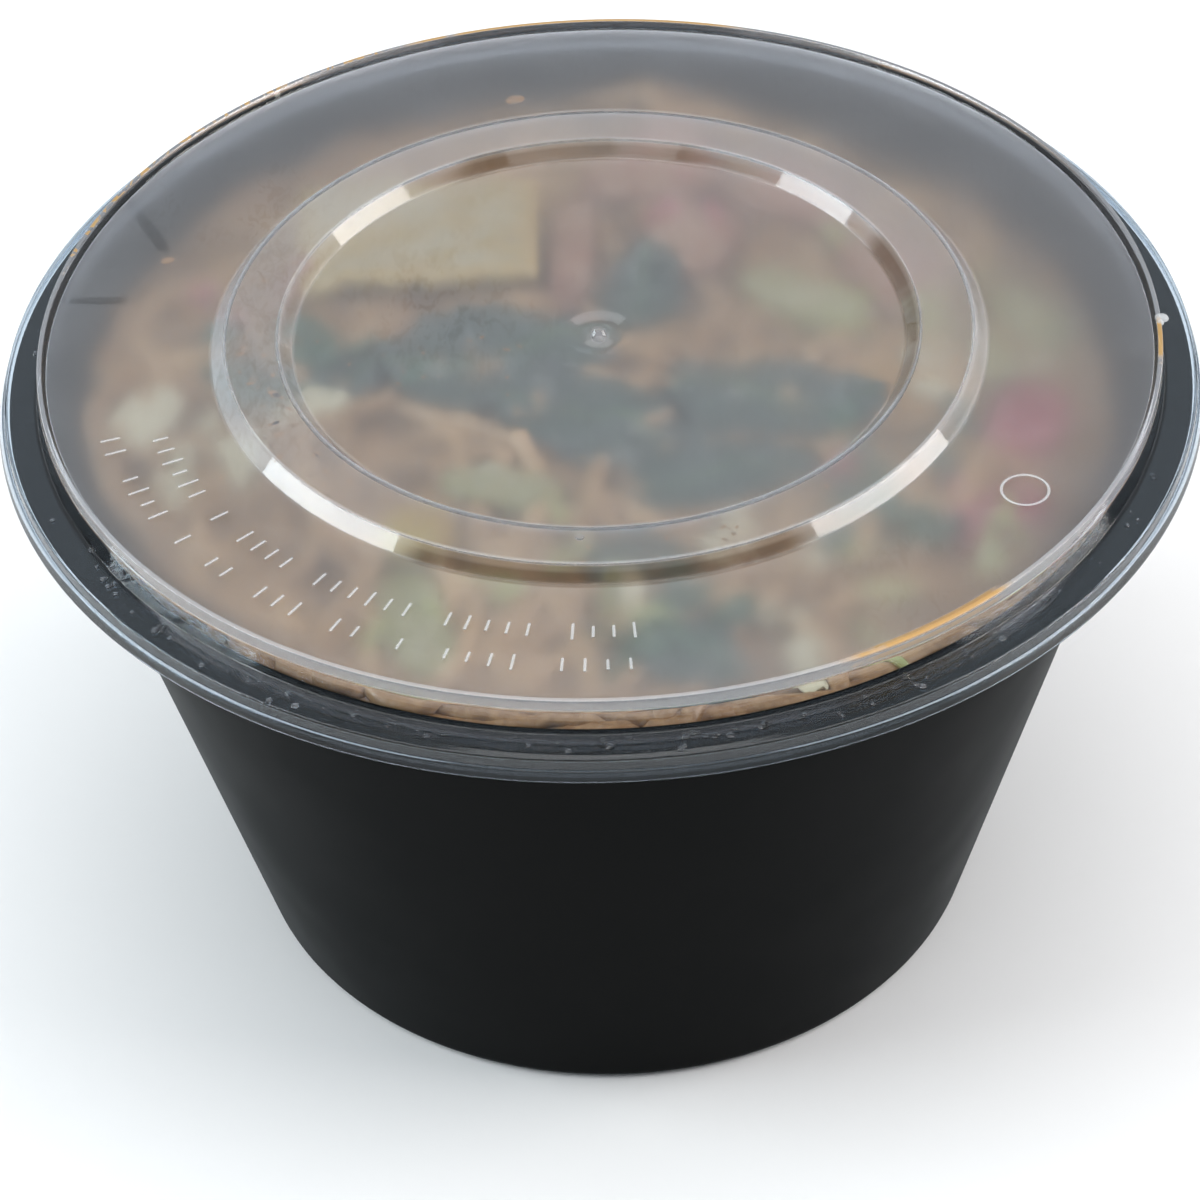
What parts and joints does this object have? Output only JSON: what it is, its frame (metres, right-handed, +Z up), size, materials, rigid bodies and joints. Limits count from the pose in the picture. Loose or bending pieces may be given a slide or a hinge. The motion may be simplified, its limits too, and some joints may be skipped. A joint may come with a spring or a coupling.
{
  "type": "round takeaway meal bowl with a press-on lid",
  "caption": "Round black takeaway bowl with a frosted press-on lid, filled with fried noodles under leaves, meat, egg, ham and cabbage.",
  "frame": {"origin": "centre of the foot ring, on the surface that the bowl stands on", "axes": "+Z up through the lid, +X to the right and -Y towards the front of the picture"},
  "size_m": [0.1598, 0.1598, 0.0911],
  "materials": {
    "bowl_plastic": "black moulded polypropylene with a soft satin sheen",
    "lid_plastic": "thin clear polypropylene, fogged inside by steam, with oil stains and water drops",
    "noodles": "fried noodles with a thin coat of brown sauce",
    "egg": "pale set egg with a soft surface",
    "tofu": "fried bean curd, pale golden",
    "ham": "moist pink-red cured meat",
    "corn": "moist pale yellow vegetable",
    "meat": "cooked sliced meat, pinkish brown",
    "cabbage": "cooked yellow-green cabbage",
    "leaf": "dark green cooked leaves, wet"
  },
  "bodies": {
    "root": {"bowl": "bowl_plastic", "lid": "lid_plastic", "noodle_heap": "noodles", "egg_block": "egg", "tofu_piece": "tofu", "ham_piece_1": "ham", "ham_piece_2": "ham", "corn_piece": "corn", "meat_slice_1": "meat", "meat_slice_2": "meat", "meat_slice_3": "meat", "meat_slice_4": "meat", "meat_slice_5": "meat", "cabbage_strip_1": "cabbage", "cabbage_strip_2": "cabbage", "cabbage_strip_3": "cabbage", "cabbage_strip_4": "cabbage", "cabbage_strip_5": "cabbage", "leaf_1": "leaf", "leaf_2": "leaf", "leaf_3": "leaf", "leaf_4": "leaf", "leaf_5": "leaf", "leaf_6": "leaf", "leaf_7": "leaf", "leaf_8": "leaf"}
  },
  "joints": []
}
